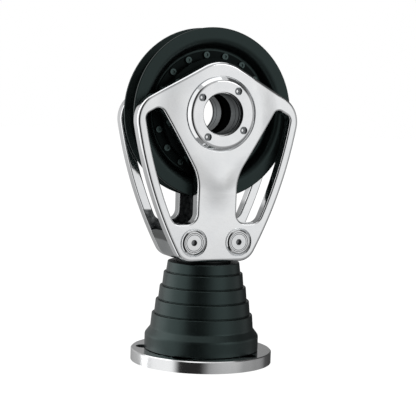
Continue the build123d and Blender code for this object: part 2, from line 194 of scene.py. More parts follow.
# The boot's skins: how its foot, ring, flare and other edges are rounded, how far a tier's top
# stands out and stays below the next tier, and the longest stretch of the outline
BOOT_FOOT_EDGE = 0.0008
BOOT_RING_EDGE = 0.004
BOOT_FLARE_EDGE = 0.003
BOOT_EDGE = 0.0009
BOOT_SEAT_EDGE = 0.0005
BOOT_TIER_REACH = 0.0002
BOOT_TIER_DROP = 0.0001
BOOT_GAP = 0.0012

# The cool cast of every black surface's shine
BLACK_TINT = (0.7, 1.0, 0.97, 1.0)

# The parts of a noise's range that colours, roughnesses and marks spread over
TONES = (0.3, 0.7)
WIDE_TONES = (0.3, 0.75)
ROUGH_TONES = (0.35, 0.75)
MARKS = (0.5, 0.8)

# Where the side plate's zones of painted shade begin and end, counted from the axle: its inner face
# and its walls along Y, the stem, the slots and the left half along X, and the rest by height
INNER_FACE = (0.0151, 0.0155)
WALL_END = (0.0234, 0.0242)
STEM_SIDE = (0.0185, 0.0195)
SLOT_SIDE = (0.046, 0.048)
LEFT_HALF = (-0.01, 0.01)
SLOT_CEILING = (-0.02, -0.015)
SLOT_BASE = (SLOT_FLOOR - 0.001, SLOT_FLOOR)
STEM_HEAD = (-0.05, -0.044)
STEM_LOW = (-0.0872, -0.0858)
UNDERSIDE = (FOOT[1] + 0.0004, FOOT[1] + 0.0009)

# Where the hub's bore and the base's bolt holes are painted in shade: the bore by distance from the
# axle and from the mouth's radius, the holes by radius and height
BORE_EDGE = (0.01815, 0.01835)
LINE_EDGE = (0.0176, 0.0179)
MOUTH_EDGE = (0.00012, 0.0002)
HOLE_REACH = (BASE_RADIUS - 0.0018, BASE_RADIUS - 0.0016)
HOLE_TOP = (BASE_THICK - 0.0004, BASE_THICK - 0.0001)
HOLE_FLOOR = (0.0002, 0.0004)

# The heights of the crosshead's painted shade, by the boot and on its upper part, and the foot
# screws' painted shade in their sockets and their dark rings
BOOT_SHADE = (BOOT_ROOF + 0.0015, BOOT_ROOF + 0.005)
SHADE = (0.1105, 0.112)
SOCKET_EDGE = (0.0026, 0.0029)
DARK_RING_RADIUS = 0.0071
DARK_RING_EDGE = (0.0002, 0.00036)

# The camera's bearing from the part, in degrees from +X
VIEW = -114.3

# The studio wall round the part: its radius, the points round it and the discs, its floor and
# top, the heights over which its lower, upper and canopy levels run into one another, and the
# level that a ramp's white stands for
WALL_RADIUS = 1.6
WALL_STEPS = 96
WALL_FLOOR = -2.4
WALL_TOP = 2.6
WALL_FADE = (-0.45, -0.03)
WALL_CANOPY = (0.6, 0.95)
WALL_SCALE = 1.6

# The wall's levels: (degrees from the camera's bearing, level)
WALL_HIGH = [
    (-178, 0.3), (-130, 0.65), (-98, 0.6), (-80, 1.1), (-44, 1.1), (-34, 0.03), (10, 0.02),
    (18, 0.35), (34, 0.72), (48, 0.86), (60, 0.88), (73, 0.42), (84, 0.42), (96, 0.31),
    (106, 0.5), (118, 0.5), (128, 0.06), (160, 0.06), (178, 0.3),
]
WALL_LOW = [
    (-178, 0.3), (-130, 0.4), (-100, 0.5), (-84, 0.98), (-46, 1.0), (-34, 0.02), (0, 0.01),
    (14, 0.42), (46, 0.38), (64, 0.32), (92, 0.28), (120, 0.12), (150, 0.05), (178, 0.1),
]
WALL_UP = [
    (-178, 0.4), (-120, 0.45), (-90, 1.0), (-46, 1.0), (-36, 0.04), (6, 0.04), (20, 0.45),
    (50, 0.5), (66, 0.35), (78, 0.1), (166, 0.05), (178, 0.4),
]

# The floor, the table under it that reflections see, and the white surroundings: what the
# camera sees, what lights the part, and how much less reflections see
FLOOR_RADIUS = 6.0
FLOOR_GLOW = 1.16
FLOOR_GLOW_SHARE = 0.86
TABLE_LEVEL = 0.25
WHITE = (1.0, 1.0, 1.0)
WORLD_LIGHT = (0.5, 0.5, 0.5)
REFLECTED_LOSS = 0.35

# Lamps: name, place, size, power; they shine towards one place in the part
LAMPS = [
    ("lamp_left_rear", (-1.0, 0.75, 0.6), (0.9, 2.4), 6.5),
    ("lamp_right", (0.9, -1.3, 0.8), (0.8, 0.8), 3.0),
    ("lamp_top", (0.0, 0.1, 1.5), (1.0, 1.0), 2.0),
]
LAMP_TARGET = (0.0, 0.0, 0.15)


def add_node(tree, kind, inputs=None, out=0, stops=None, **settings):
    """Add a node: its settings and ramp stops first, then the values or wires it takes."""
    made = tree.nodes.new(kind)
    for name, value in settings.items():
        setattr(made, name, value)
    if stops:
        ramp = made.color_ramp
        while len(ramp.elements) < len(stops):
            ramp.elements.new(1.0)
        for element, (position, level) in zip(ramp.elements, stops):
            element.position = position
            element.color = (level, level, level, 1.0)
    for key, value in (inputs or {}).items():
        if isinstance(value, Wire):
            tree.links.new(value.socket, made.inputs[key])
        else:
            made.inputs[key].default_value = value
    return Wire(tree, made.outputs[out]) if made.outputs else None


class Wire:
    """A shader socket. Arithmetic on it adds Math nodes, and node() adds any other node."""

    def __init__(self, tree, socket):
        self.tree = tree
        self.socket = socket

    def node(self, kind, inputs, **settings):
        return add_node(self.tree, kind, inputs, **settings)

    def maths(self, operation, other=0.0):
        return self.node("ShaderNodeMath", {0: self, 1: other}, operation=operation)

    def __add__(self, other):
        return self.maths("ADD", other)

    __radd__ = __add__

    def __mul__(self, other):
        return self.maths("MULTIPLY", other)

    def __sub__(self, other):
        return self.maths("SUBTRACT", other)

    def __rsub__(self, other):
        return self.node("ShaderNodeMath", {0: other, 1: self}, operation="SUBTRACT")

    def sine(self):
        return self.maths("SINE")

    def size(self):
        return self.maths("ABSOLUTE")

    def above(self, low, high):
        """0 up to low, 1 from high on, and an even rise between them."""
        return self.node("ShaderNodeMapRange", {0: self, 1: low, 2: high}, clamp=True)

    def below(self, low, high):
        """1 up to low, 0 from high on, and an even fall between them."""
        return 1.0 - self.above(low, high)

    def noise(self, scale, detail=3.0, roughness=0.5, distortion=0.0):
        """Noise of this many features per metre at the place that the wire carries."""
        return self.node("ShaderNodeTexNoise", {
            "Vector": self, "Scale": scale, "Detail": detail, "Roughness": roughness,
            "Distortion": distortion}, noise_dimensions="3D")

    def stretched(self, x, y, z):
        """A place with its axes scaled apart, for brushed and turned marks."""
        return self.node("ShaderNodeVectorMath", {0: self, 1: (x, y, z)}, operation="MULTIPLY")

    def moved(self, place):
        """A place counted from another origin."""
        return self.node("ShaderNodeVectorMath", {0: self, 1: tuple(place)}, operation="SUBTRACT")

    def length(self):
        return self.node("ShaderNodeVectorMath", {0: self}, out="Value", operation="LENGTH")

    def axis(self, name):
        return self.node("ShaderNodeSeparateXYZ", {0: self}, out=name)

    def blend(self, low, high):
        """The colour from low to high, each a colour or a wire, as the wire goes from 0 to 1."""
        ends = [end if isinstance(end, Wire) else (*end, 1.0) for end in (low, high)]
        return self.node("ShaderNodeMix", {0: self, 6: ends[0], 7: ends[1]}, out=2,
                         data_type="RGBA")


class Finish:
    """A material under construction: a Principled shader, Object coordinates and its feeds."""

    def __init__(self, name, colour, metallic, roughness, **fixed):
        self.material = bpy.data.materials.new(name)
        self.material.use_nodes = True
        tree = self.material.node_tree
        self.shader = tree.nodes["Principled BSDF"]
        self.shader.inputs["Base Color"].default_value = (*colour, 1.0)
        self.shader.inputs["Metallic"].default_value = metallic
        self.shader.inputs["Roughness"].default_value = roughness
        for socket, value in fixed.items():
            self.shader.inputs[socket.replace("_", " ")].default_value = value
        self.place = add_node(tree, "ShaderNodeTexCoord", out="Object")

    def feed(self, socket, wire):
        self.shader.id_data.links.new(wire.socket, self.shader.inputs[socket])

    def relief(self, *layers):
        """Bump layers, each a height wire and the depth in metres that 1 stands for."""
        normal = None
        for height, depth in layers:
            inputs = {"Height": height, "Strength": 1.0, "Distance": depth}
            if normal:
                inputs["Normal"] = normal
            normal = height.node("ShaderNodeBump", inputs)
        self.feed("Normal", normal)


def cast_mirror_steel():
    """Electropolished stainless casting: bright, with a soft orange-peel and faint smears, painted
    shade on the walls in the slots, and a dark mottled, rougher painted shade on the inner faces
    down the stem and low on the left, and on the undersides."""
    finish = Finish("cast_mirror_steel", (0.86, 0.87, 0.88), 1.0, 0.1)
    cloud = finish.place.noise(60.0, 4.0, 0.55)
    smear = finish.place.stretched(1.0, 1.0, 3.0).noise(240.0, 3.0, 0.6)
    place = finish.place.moved(AXLE)
    across, height = place.axis("X"), place.axis("Z")
    side = place.axis("Y").size()
    # painted shade: the walls inside the slots are coloured darker and made a little rougher
    slot_wall_shade = (side.above(*INNER_FACE) * side.below(*WALL_END)
                 * across.size().below(*SLOT_SIDE) * height.below(*SLOT_CEILING)
                 * height.above(*SLOT_BASE))
    # painted shade: a dark mottled colour on the inner faces down the stem and low on the left, and
    # on the plates' undersides
    low = height.below(*STEM_LOW) * across.below(*LEFT_HALF)
    stem = across.size().below(*STEM_SIDE) * height.below(*STEM_HEAD)
    painted_inner_shade = side.below(*INNER_FACE) * low.maths("MAXIMUM", stem)
    painted_inner_shade = painted_inner_shade.maths("MAXIMUM", height.below(*UNDERSIDE))
    skin = cloud.above(*TONES).blend((0.84, 0.855, 0.87), (0.9, 0.91, 0.915))
    skin = slot_wall_shade.blend(skin, (0.4, 0.41, 0.415))
    mottle = finish.place.noise(210.0, 4.0, 0.65).above(0.36, 0.66)
    inner_shade_colour = mottle.blend((0.06, 0.066, 0.07), (0.34, 0.355, 0.36))
    finish.feed("Base Color", painted_inner_shade.blend(skin, inner_shade_colour))
    rough = 0.07 + cloud.above(*ROUGH_TONES) * 0.06 + smear.above(*MARKS) * 0.05
    finish.feed("Roughness", rough + slot_wall_shade * 0.08 + painted_inner_shade * 0.26)
    peel = finish.place.noise(520.0, 2.0, 0.4)
    finish.relief((cloud, 0.00012), (peel, 0.000008))
    return finish.material


def hub_mirror_steel():
    """Turned and polished stainless round the axle, with hair-fine rings, and painted shade in the
    bore: dark grey, black in its grooves and on the mouth's wall, and rougher.
    """
    finish = Finish("hub_mirror_steel", (0.86, 0.87, 0.88), 1.0, 0.08)
    place = finish.place.moved(AXLE)
    radius = place.stretched(1.0, 0.0, 1.0).length()
    rings = (radius * 9000.0 + place.noise(30.0) * 2.0).sine()
    cloud = place.noise(90.0, 4.0)
    # painted shade: the bore is coloured dark grey, and black in its grooves and on the mouth's
    # wall
    off_wall = (radius - HUB_MOUTH_RADIUS).size().above(*MOUTH_EDGE)
    bore = 1.0 - off_wall * radius.above(*BORE_EDGE)
    bore_shade_colour = radius.above(*LINE_EDGE).blend((0.17, 0.184, 0.19), (0.01, 0.011, 0.012))
    face = cloud.above(*TONES).blend((0.83, 0.845, 0.86), (0.9, 0.905, 0.915))
    finish.feed("Base Color", bore.blend(face, bore_shade_colour))
    finish.feed("Roughness", 0.07 + cloud.above(0.3, 0.8) * 0.07 + bore * 0.28)
    finish.relief((rings, 0.0000012), (cloud, 0.00008))
    return finish.material


def turned_base_steel():
    """The base: turned rings on top, fine lines round the rim, light handling marks, and painted
    shade in the bolt holes, nearly black and rougher."""
    finish = Finish("turned_base_steel", (0.8, 0.81, 0.82), 1.0, 0.12)
    radius = finish.place.stretched(1.0, 1.0, 0.0).length()
    rings = (radius * 11000.0 + finish.place.noise(25.0) * 3.0).sine()
    lines = finish.place.stretched(1.0, 1.0, 90.0).noise(60.0, 4.0, 0.6)
    cloud = finish.place.noise(45.0, 4.0, 0.55)
    height = finish.place.axis("Z")
    # painted shade: the bolt holes are coloured nearly black
    holes = radius.below(*HOLE_REACH) * height.below(*HOLE_TOP) * height.above(*HOLE_FLOOR)
    skin = cloud.above(*TONES).blend((0.78, 0.79, 0.8), (0.86, 0.865, 0.87))
    finish.feed("Base Color", holes.blend(skin, (0.03, 0.033, 0.035)))
    finish.feed("Roughness", 0.1 + cloud.above(*WIDE_TONES) * 0.08
                + lines.above(*MARKS) * 0.05 + holes * 0.3)
    finish.relief((rings, 0.0000015), (lines, 0.00001))
    return finish.material


def forged_steel():
    """Satin stainless of the toggle, bead blasted."""
    finish = Finish("forged_steel", (0.5, 0.51, 0.52), 1.0, 0.34)
    grain = finish.place.noise(2600.0, 2.0, 0.5)
    cloud = finish.place.noise(70.0, 4.0, 0.6)
    finish.feed("Base Color", cloud.above(*TONES).blend((0.42, 0.43, 0.44), (0.56, 0.57, 0.58)))
    finish.feed("Roughness", 0.3 + cloud.above(*WIDE_TONES) * 0.14)
    finish.relief((grain, 0.00003),)
    return finish.material


def crosshead_steel():
    """The crosshead casting, coloured darker than the plates as painted shade, with a wavy
    hand-worked skin, a darker painted shade on its upper part and a near-black, rougher painted
    shade where it goes into the boot."""
    finish = Finish("crosshead_steel", (0.5, 0.52, 0.53), 1.0, 0.14)
    cloud = finish.place.noise(55.0, 3.0, 0.5)
    streak = finish.place.stretched(1.0, 5.0, 1.0).noise(300.0, 3.0, 0.6)
    height = finish.place.axis("Z")
    # painted shade: the casting is coloured darker than the plates, darker still on its upper part
    # and nearly black where it goes into the boot
    boot_shade = height.below(*BOOT_SHADE)
    shade = (height + cloud * 0.004).above(*SHADE)
    skin = cloud.above(*TONES).blend((0.34, 0.36, 0.365), (0.46, 0.48, 0.485))
    skin = shade.blend(skin, (0.06, 0.066, 0.068))
    finish.feed("Base Color", boot_shade.blend(skin, (0.012, 0.014, 0.014)))
    finish.feed("Roughness", 0.1 + cloud.above(*ROUGH_TONES) * 0.08
                + streak.above(*MARKS) * 0.06 + boot_shade * 0.3)
    finish.relief((cloud, 0.0002), (streak, 0.00001))
    return finish.material


def fastener_steel():
    """Bright drawn stainless of the screws, pins and clips."""
    finish = Finish("fastener_steel", (0.78, 0.785, 0.79), 1.0, 0.16)
    cloud = finish.place.noise(160.0, 4.0, 0.6)
    scratch = finish.place.stretched(6.0, 1.0, 1.0).noise(700.0, 3.0, 0.7)
    finish.feed("Base Color", cloud.above(*TONES).blend((0.72, 0.73, 0.74), (0.85, 0.85, 0.855)))
    finish.feed("Roughness", 0.12 + cloud.above(*WIDE_TONES) * 0.1)
    finish.relief((scratch, 0.000008),)
    return finish.material


def foot_screw_steel():
    """Drawn stainless heads with lathe rings about each foot screw, one painted dark ring, and
    painted
    shade in the socket: dark grey and rougher."""
    finish = Finish("foot_screw_steel", (0.8, 0.81, 0.82), 1.0, 0.14)
    place = finish.place.moved(AXLE)
    x = place.axis("X").size() - FOOT_SCREW[0]
    z = place.axis("Z") - FOOT_SCREW[1]
    radius = (x * x + z * z).maths("SQRT")
    rings = (radius * 12000.0 + place.noise(60.0) * 2.0).sine()
    cloud = place.noise(160.0, 4.0, 0.6)
    # painted shade: the socket is coloured dark grey
    socket = radius.below(*SOCKET_EDGE)
    # a thin dark ring painted on the head
    dark_ring = (radius - DARK_RING_RADIUS).size().below(*DARK_RING_EDGE)
    face = cloud.above(*TONES).blend((0.76, 0.775, 0.79), (0.86, 0.87, 0.875))
    face = dark_ring.blend(face, (0.1, 0.105, 0.11))
    finish.feed("Base Color", socket.blend(face, (0.24, 0.25, 0.26)))
    finish.feed("Roughness", 0.1 + cloud.above(*WIDE_TONES) * 0.08 + socket * 0.2)
    finish.relief((rings, 0.000002),)
    return finish.material


def hub_screw_steel():
    """The small screws in the hub rings: satin metal, coloured dark."""
    finish = Finish("hub_screw_steel", (0.2, 0.21, 0.215), 1.0, 0.36)
    cloud = finish.place.noise(500.0, 4.0, 0.6)
    finish.feed("Base Color", cloud.above(*TONES).blend((0.13, 0.14, 0.145), (0.28, 0.29, 0.3)))
    finish.feed("Roughness", 0.3 + cloud.above(*WIDE_TONES) * 0.16)
    finish.relief((cloud, 0.00002),)
    return finish.material


def black_anodised(name, shine):
    """Hard anodised aluminium, satin black with faint turning rings about the axle."""
    finish = Finish(name, (0.006, 0.007, 0.007), 0.0, 0.3, Specular_IOR_Level=shine,
                    Specular_Tint=BLACK_TINT)
    place = finish.place.moved(AXLE)
    radius = place.stretched(1.0, 0.0, 1.0).length()
    rings = (radius * 5200.0 + place.noise(40.0) * 2.0).sine()
    cloud = place.noise(55.0, 5.0, 0.6)
    grain = place.noise(3200.0, 2.0, 0.5)
    finish.feed("Base Color", cloud.above(*WIDE_TONES).blend(
        (0.003, 0.0036, 0.0037), (0.006, 0.0075, 0.0075)))
    finish.feed("Roughness", 0.26 + cloud.above(*WIDE_TONES) * 0.1 + grain * 0.05)
    finish.relief((rings, 0.000002), (grain, 0.00001))
    return finish.material


def black_acetal():
    """Machined black plastic of the sleeve and the cages."""
    finish = Finish("black_acetal", (0.004, 0.004, 0.005), 0.0, 0.4, Specular_IOR_Level=0.0,
                    Specular_Tint=BLACK_TINT)
    cloud = finish.place.noise(120.0, 4.0, 0.6)
    lines = finish.place.stretched(1.0, 14.0, 1.0).noise(420.0, 3.0, 0.6)
    finish.feed("Base Color", cloud.above(*WIDE_TONES).blend(
        (0.003, 0.0035, 0.004), (0.007, 0.008, 0.009)))
    finish.feed("Roughness", 0.34 + lines.above(0.4, 0.8) * 0.15)
    finish.relief((lines, 0.00001),)
    return finish.material


def bearing_plastic():
    """Smooth tan plastic of the rollers and balls."""
    finish = Finish("bearing_plastic", (0.5, 0.4, 0.24), 0.0, 0.25)
    cloud = finish.place.noise(200.0, 4.0, 0.6)
    finish.feed("Base Color", cloud.above(*WIDE_TONES).blend(
        (0.42, 0.33, 0.19), (0.58, 0.47, 0.3)))
    finish.feed("Roughness", 0.2 + cloud.above(0.3, 0.8) * 0.15)
    return finish.material


def boot_rubber():
    """Matt moulded rubber: a mottled bloom, upright streaks and fine mould grain."""
    finish = Finish("boot_rubber", (0.004, 0.005, 0.005), 0.0, 0.36, Specular_IOR_Level=0.62,
                    Specular_Tint=BLACK_TINT)
    bloom = finish.place.noise(38.0, 5.0, 0.62, 0.4)
    grain = finish.place.noise(2400.0, 3.0, 0.6)
    streak = finish.place.stretched(1.0, 1.0, 0.16).noise(210.0, 3.0, 0.6)
    finish.feed("Base Color", (bloom * 0.7 + streak * 0.3).above(0.34, 0.7).blend(
        (0.0028, 0.0036, 0.0036), (0.0055, 0.007, 0.007)))
    finish.feed("Roughness", 0.3 + bloom.above(*WIDE_TONES) * 0.07 + grain * 0.05)
    finish.relief((bloom, 0.0002), (grain, 0.00003))
    return finish.material


def rounding(back, place, ahead, radius):
    """How the corner at place is rounded: the directions to its neighbours, half the angle
    between them, how far along them the arc starts and ends, and the arc's centre."""
    to_back = (back - place) / np.linalg.norm(back - place)
    to_ahead = (ahead - place) / np.linalg.norm(ahead - place)
    half = math.acos(np.clip(to_back @ to_ahead, -1, 1)) / 2
    middle = (to_back + to_ahead) / np.linalg.norm(to_back + to_ahead)
    centre = place + middle * radius / math.sin(half)
    return to_back, to_ahead, half, radius / math.tan(half), centre


def rounded(corners, steps=ARC_STEPS):
    """A closed outline from (u, v, radius) corners: arcs where a radius is given, with a support
    point beside each arc so that flat stretches shade flat."""
    points = np.array([corner[:2] for corner in corners], float)
    before = np.roll(points, 1, axis=0)
    after = np.roll(points, -1, axis=0)
    share = np.linspace(0, 1, steps + 1)[:, None]
    parts = []
    for corner, place, back, ahead in zip(corners, points, before, after):
        radius = corner[2]
        if not radius:
            parts.append(place[None])
            continue
        to_back, to_ahead, half, reach, centre = rounding(back, place, ahead, radius)
        start = place + to_back * reach - centre
        end = place + to_ahead * reach - centre
        turn = math.pi - 2 * half
        curve = np.sin((1 - share) * turn) * start + np.sin(share * turn) * end
        support = reach + radius * SUPPORT_SHARE
        parts.append(place[None] + to_back * support)
        parts.append(centre + curve / math.sin(turn))
        parts.append(place[None] + to_ahead * support)
    return np.vstack(parts)


def linked(name, data):
    """A new object in the scene."""
    made = bpy.data.objects.new(name, data)
    bpy.context.scene.collection.objects.link(made)
    return made


def finished(name, mesh, material):
    """A mesh as an object with its material, shaded smooth but for its sharp edges."""
    mesh.shade_smooth()
    mesh.set_sharp_from_angle(angle=math.radians(SHARP))
    mesh.materials.append(material)
    return linked(name, mesh)


def surface(name, grids, material, body=None):
    """A mesh from (m, n, 3) grids of points, each closed both ways, that may ride on a body."""
    quads = []
    first = 0
    for grid in grids:
        rows, columns = grid.shape[:2]
        index = np.arange(rows * columns).reshape(rows, columns) + first
        ahead = np.roll(index, -1, axis=1)
        corners = [index, ahead, np.roll(ahead, -1, axis=0), np.roll(index, -1, axis=0)]
        quads.append(np.stack(corners, axis=-1).reshape(-1, 4))
        first += rows * columns
    mesh = bpy.data.meshes.new(name)
    mesh.from_pydata(np.vstack([grid.reshape(-1, 3) for grid in grids]), [],
                     np.vstack(quads).tolist())
    mesh.validate()
    piece = finished(name, mesh, material)
    if body:
        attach(piece, body)
    return piece


def signed_area(loop):
    """Twice the area within a loop, positive where it runs anticlockwise."""
    ahead = np.roll(loop, -1, axis=0)
    return np.sum(loop[:, 0] * ahead[:, 1] - ahead[:, 0] * loop[:, 1])


def turned_points(outline, centre, upright, steps):
    """The grid of a surface of revolution: each (radius, along) point of the closed outline goes
    round the vertical, or round a line along Y, through the centre in steps equal angles. The
    outline is turned so that faces point outwards."""
    if (signed_area(outline) > 0) == upright:
        outline = outline[::-1]
    radius, along = outline[:, 0], outline[:, 1]
    angle = np.linspace(0, 2 * math.pi, steps, endpoint=False)[:, None]
    across = radius * np.cos(angle)
    other = radius * np.sin(angle)
    level = np.broadcast_to(along, across.shape)
    order = [across, other, level] if upright else [across, level, other]
    return np.stack(order, axis=-1) + centre


def turned(name, outline, material, upright=False, steps=LATHE_STEPS):
    """A surface of revolution round the vertical, or round the axle's line."""
    centre = np.zeros(3) if upright else AXLE
    return surface(name, [turned_points(outline, centre, upright, steps)], material)


def arc(centre, start, end, gap=ARC_GAP):
    """Points round a centre from start to end the short way, no further than gap apart."""
    first = np.array(start) - centre
    last = np.array(end) - centre
    turn = math.atan2(first[0] * last[1] - first[1] * last[0], first @ last)
    steps = max(2, math.ceil(abs(turn) * np.linalg.norm(first) / gap))
    angle = np.linspace(0, turn, steps + 1)[:, None]
    return centre + np.cos(angle) * first + np.sin(angle) * np.array([-first[1], first[0]])


def bend(back, place, ahead, radius):
    """The arc that rounds the corner at place between straight edges from back and to ahead."""
    back, place, ahead = (np.array(point, float) for point in (back, place, ahead))
    to_back, to_ahead, _, reach, centre = rounding(back, place, ahead, radius)
    return arc(centre, place + to_back * reach, place + to_ahead * reach)


def touching(place, direction, centre, reach, radius):
    """The arc of this radius from a straight edge to the inside of a circle: its centre is one
    radius from the edge, on the circle's inner side, and reach less one radius from the centre."""
    place, direction = np.array(place), np.array(direction)
    inward = np.array([direction[1], -direction[0]])
    if inward @ (centre - place) < 0:
        inward = -inward
    base = place + inward * radius - centre
    ahead = base @ direction
    step = -ahead + math.sqrt(ahead ** 2 - base @ base + (reach - radius) ** 2)
    middle = centre + base + step * direction
    outward = (middle - centre) / np.linalg.norm(middle - centre)
    return arc(middle, middle - inward * radius, centre + outward * reach)


def plate_loops():
    """The plate's outline and its right slot as loops of (x, rise above the axle)."""
    slope = math.atan2(APEX - SHOULDER[1], SHOULDER[0])
    down = np.array([math.cos(slope), -math.sin(slope)])
    chord = np.array(FOOT) - np.array(SHOULDER)
    length = np.linalg.norm(chord)
    inward = np.array([chord[1], -chord[0]]) / length
    bow = (np.array(SHOULDER) + np.array(FOOT)) / 2 + inward * math.sqrt(
        FLANK_RADIUS ** 2 - length ** 2 / 4)
    crown = np.array([0.0, APEX - APEX_RADIUS / math.cos(slope)])
    top = arc(crown, crown + (0.0, APEX_RADIUS),
              crown + APEX_RADIUS * np.array([math.sin(slope), math.cos(slope)]))
    shoulder = touching((0.0, APEX), down, bow, FLANK_RADIUS, SHOULDER_RADIUS)
    foot = touching((0.0, FOOT[1]), (1.0, 0.0), bow, FLANK_RADIUS, FOOT_RADIUS)[::-1]
    flank = arc(bow, shoulder[-1], foot[0], EDGE_GAP)[1:-1]
    half = np.vstack([top, shoulder, flank, foot, [(0.0, FOOT[1])]])
    outline = np.vstack([half, half[1:-1][::-1] * (-1.0, 1.0)])
    inner = FLANK_RADIUS - RIM_BAND
    roof = np.array([0.0, APEX - SHOULDER_BAND / math.cos(slope)])
    web = WEB_RADIUS * np.array([math.sin(WEB_ANGLE), -math.cos(WEB_ANGLE)])
    root = (STEM, web[1] - (web[0] - STEM) * math.tan(WEB_ANGLE))
    rise = (roof[1] + web[0] * math.tan(WEB_ANGLE) - web[1]) / (
        math.tan(WEB_ANGLE) + math.tan(slope))
    peak = (rise, roof[1] - rise * math.tan(slope))
    corner = touching(roof, down, bow, inner, SLOT_TOP_RADIUS)
    floor = touching((0.0, SLOT_FLOOR), (1.0, 0.0), bow, inner, SLOT_FOOT_RADIUS)[::-1]
    slot = np.vstack([
        bend(root, peak, corner[0], SLOT_TOP_RADIUS),
        corner,
        arc(bow, corner[-1], floor[0], EDGE_GAP)[1:-1],
        floor,
        bend(floor[-1], (STEM, SLOT_FLOOR), root, SLOT_FOOT_RADIUS),
        bend((STEM, SLOT_FLOOR), root, peak, SLOT_ROOT_RADIUS),
    ])
    return thickened(outline, EDGE_GAP), thickened(slot, EDGE_GAP)


def circle(place, radius, steps=CIRCLE_STEPS):
    """A closed ring of points round a place."""
    angle = np.linspace(0, 2 * math.pi, steps, endpoint=False)
    return np.array(place) + radius * np.stack([np.cos(angle), np.sin(angle)], axis=-1)


def beside(loop, inset, solid_inside):
    """The loop moved into the plate by inset, across the lines between its points' neighbours."""
    along = np.roll(loop, -1, axis=0) - np.roll(loop, 1, axis=0)
    normal = np.stack([along[:, 1], -along[:, 0]], axis=-1)
    normal /= np.linalg.norm(normal, axis=1)[:, None]
    outward = normal * np.sign(signed_area(loop))
    return loop + outward * (-inset if solid_inside else inset)


def within(points, loop):
    """Whether each point lies inside a loop, by the crossings of a ray to the right."""
    ahead = np.roll(loop, -1, axis=0)
    x, z = points[:, :1], points[:, 1:]
    spans = (loop[:, 1] > z) != (ahead[:, 1] > z)
    rise = np.where(ahead[:, 1] == loop[:, 1], 1.0, ahead[:, 1] - loop[:, 1])
    crossing = loop[:, 0] + (z - loop[:, 1]) * (ahead[:, 0] - loop[:, 0]) / rise
    return np.sum(spans & (x < crossing), axis=1) % 2 == 1


def clear_of(points, loop, gap, parts=8):
    """Whether each point is further than gap from every point of a loop, which is gone through
    in parts to save memory."""
    nearest = np.full(len(points), np.inf)
    for part in np.array_split(loop, parts):
        apart = np.linalg.norm(points[:, None] - part[None], axis=2).min(axis=1)
        nearest = np.minimum(nearest, apart)
    return nearest > gap


def doubled_areas(corners):
    """Twice the area of each flat triangle, positive where it runs anticlockwise."""
    first, second = corners[:, 1] - corners[:, 0], corners[:, 2] - corners[:, 0]
    return first[:, 0] * second[:, 1] - first[:, 1] * second[:, 0]


def sheet(outer, holes):
    """Points and triangles that fill the outer loop but for the holes, on an even grid whose
    every second row stands half a pitch to the side."""
    loops = [outer] + holes
    low, high = outer.min(axis=0), outer.max(axis=0)
    x, z = np.meshgrid(np.arange(low[0], high[0], SHEET_GAP),
                       np.arange(low[1], high[1], SHEET_GAP * ROW_SHARE))
    x = x + (np.arange(x.shape[0]) % 2)[:, None] * SHEET_GAP / 2
    grid = np.stack([x.ravel(), z.ravel()], axis=-1)
    keep = within(grid, outer)
    for hole in holes:
        keep &= ~within(grid, hole)
    grid = grid[keep]
    for loop in loops:
        grid = grid[clear_of(grid, loop, SHEET_GAP * CLEAR_SHARE)]
    points = np.vstack(loops + [grid])
    edges = []
    first = 0
    for loop in loops:
        index = np.arange(len(loop))
        edges.append(np.stack([index, np.roll(index, -1)], axis=-1) + first)
        first += len(loop)
    made = delaunay_2d_cdt(points.tolist(), np.vstack(edges).tolist(), [], 0, SHEET_SAME)
    places, faces = np.array(made[0]), np.array(made[2])
    corners = places[faces]
    middle = corners.mean(axis=1)
    keep = np.abs(doubled_areas(corners)) > SLIVER
    keep &= within(middle, outer)
    for hole in holes:
        keep &= ~within(middle, hole)
    return places, faces[keep]


def plate_relief(x, z):
    """How far the plate's outer face stands out: a pad round the hub that falls away in a soft
    slope to a slightly sunken plate, and a low swelling down the middle of the stem."""
    radius = np.hypot(x, z * np.where(z < 0, PAD_LOWER, 1.0))
    fall = np.clip((radius - PAD_INNER) / (PAD_OUTER - PAD_INNER), 0, 1)
    pad = PAD_HEIGHT * (1 - fall ** 2 * (3 - 2 * fall))
    swell = SWELL_HEIGHT * np.exp(-(x / SWELL_WIDTH) ** 2 - ((z - SWELL_PLACE) / SWELL_LENGTH) ** 2)
    return pad + swell - PLATE_SINK


def fillet_profile(front, back):
    """(inset, depth) from the outer face over a rounding, down the wall and over a rounding."""
    turn = np.linspace(0, math.pi / 2, 9)
    curve = np.stack([1 - np.sin(turn), 1 - np.cos(turn)], axis=-1)
    near = front * curve
    far = (0.0, PLATE_THICK) + back * curve[::-1] * (1.0, -1.0)
    wall = np.stack([np.zeros(3), np.linspace(front, PLATE_THICK - back, 5)[1:-1]], axis=-1)
    return np.vstack([
        [(front + SUPPORT, 0.0)], near, wall, far, [(back + SUPPORT, PLATE_THICK)]])


